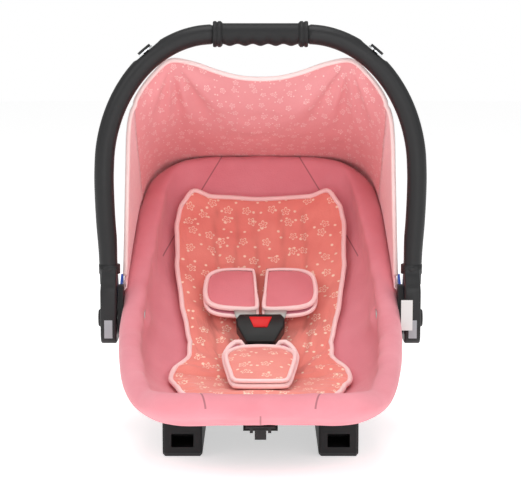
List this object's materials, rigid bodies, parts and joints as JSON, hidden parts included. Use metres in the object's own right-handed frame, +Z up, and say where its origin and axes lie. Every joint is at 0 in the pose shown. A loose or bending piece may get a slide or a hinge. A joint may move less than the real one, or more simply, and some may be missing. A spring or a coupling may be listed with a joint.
{
  "type": "infant car seat",
  "caption": "Rear-facing infant carrier: padded bucket on two runners, carrying handle that turns on side hubs, fabric hood, printed insert and buckled harness.",
  "frame": {"origin": "on the floor under the middle of the seat's length and width", "axes": "+X across the seat towards the right of the picture, +Y towards the head end, +Z up; the foot end faces -Y"},
  "size_m": [0.4382, 0.6246, 0.542],
  "materials": {
    "shell_plastic": "moulded polypropylene, fine texture",
    "foam": "expanded polystyrene",
    "pink_fabric": "padded knit, matt",
    "print_fabric": "printed cotton, matt",
    "mauve_fabric": "padded knit, matt",
    "hood_fabric": "printed woven sheet",
    "webbing": "woven polyester",
    "handle_plastic": "satin moulded plastic",
    "grip_rubber": "soft grip",
    "buckle_plastic": "satin",
    "red_plastic": "satin",
    "inlay_plastic": "satin",
    "blue_plastic": "satin",
    "steel": "satin",
    "chrome": "bright",
    "label": "woven label"
  },
  "bodies": {
    "seat": {"shell": "shell_plastic", "foam_liner": "foam", "seat_cover": "pink_fabric", "insert_cushion": "print_fabric", "crotch_pad": "print_fabric", "crotch_strap": "webbing", "crotch_anchor": "steel", "buckle_housing": "buckle_plastic", "harness_yoke": "steel", "canopy": "hood_fabric", "care_label": "label", "adjuster_plate": "handle_plastic", "shoulder_strap_right": "webbing", "pivot_pin_right": "steel", "pivot_bracket_right": "shell_plastic", "runner_right": "shell_plastic", "belt_guide_right": "blue_plastic", "runner_screw_right_front": "steel", "runner_screw_right_rear": "steel", "shoulder_strap_left": "webbing", "pivot_pin_left": "steel", "pivot_bracket_left": "shell_plastic", "runner_left": "shell_plastic", "belt_guide_left": "blue_plastic", "runner_screw_left_front": "steel", "runner_screw_left_rear": "steel"},
    "release_button_right": {"release_button_right": "handle_plastic"},
    "release_button_left": {"release_button_left": "handle_plastic"},
    "buckle_button": {"buckle_button": "red_plastic"},
    "harness_end_right": {"buckle_tongue_right": "steel", "chest_pad_right": "mauve_fabric"},
    "harness_end_left": {"buckle_tongue_left": "steel", "chest_pad_left": "mauve_fabric"},
    "adjuster_lever": {"adjuster_lever": "handle_plastic"},
    "handle": {"handle_arch": "handle_plastic", "handle_grip": "grip_rubber", "hub_inlay_right": "inlay_plastic", "hub_inlay_left": "inlay_plastic", "canopy_stud_right": "handle_plastic", "canopy_stud_left": "handle_plastic", "stud_ring_right": "chrome", "stud_ring_left": "chrome"}
  },
  "joints": [
    {"name": "handle_turn", "type": "hinge", "parent": "seat", "child": "handle", "pos_m": [0, 0.01, 0.15], "axis": [1, 0, 0], "range_deg": [-105, 0]},
    {"name": "release_right", "type": "slide", "parent": "handle", "child": "release_button_right", "axis": [-1, 0, 0], "range_m": [0, 0.003], "stiffness_N_per_m": 600},
    {"name": "release_left", "type": "slide", "parent": "handle", "child": "release_button_left", "axis": [1, 0, 0], "range_m": [0, 0.003], "stiffness_N_per_m": 600},
    {"name": "buckle_press", "type": "slide", "parent": "seat", "child": "buckle_button", "axis": [0, 0.6919, -0.722], "range_m": [0, 0.003], "stiffness_N_per_m": 800},
    {"name": "tongue_out_right", "type": "slide", "parent": "seat", "child": "harness_end_right", "axis": [0, 0.722, 0.6919], "range_m": [0, 0.018], "deforming": ["shoulder_strap_right"]},
    {"name": "tongue_out_left", "type": "slide", "parent": "seat", "child": "harness_end_left", "axis": [0, 0.722, 0.6919], "range_m": [0, 0.018], "deforming": ["shoulder_strap_left"]},
    {"name": "adjuster_tilt", "type": "hinge", "parent": "seat", "child": "adjuster_lever", "pos_m": [0, -0.232, 0.0545], "axis": [1, 0, 0], "range_deg": [0, 25], "stiffness_Nm_per_rad": 0.05}
  ]
}
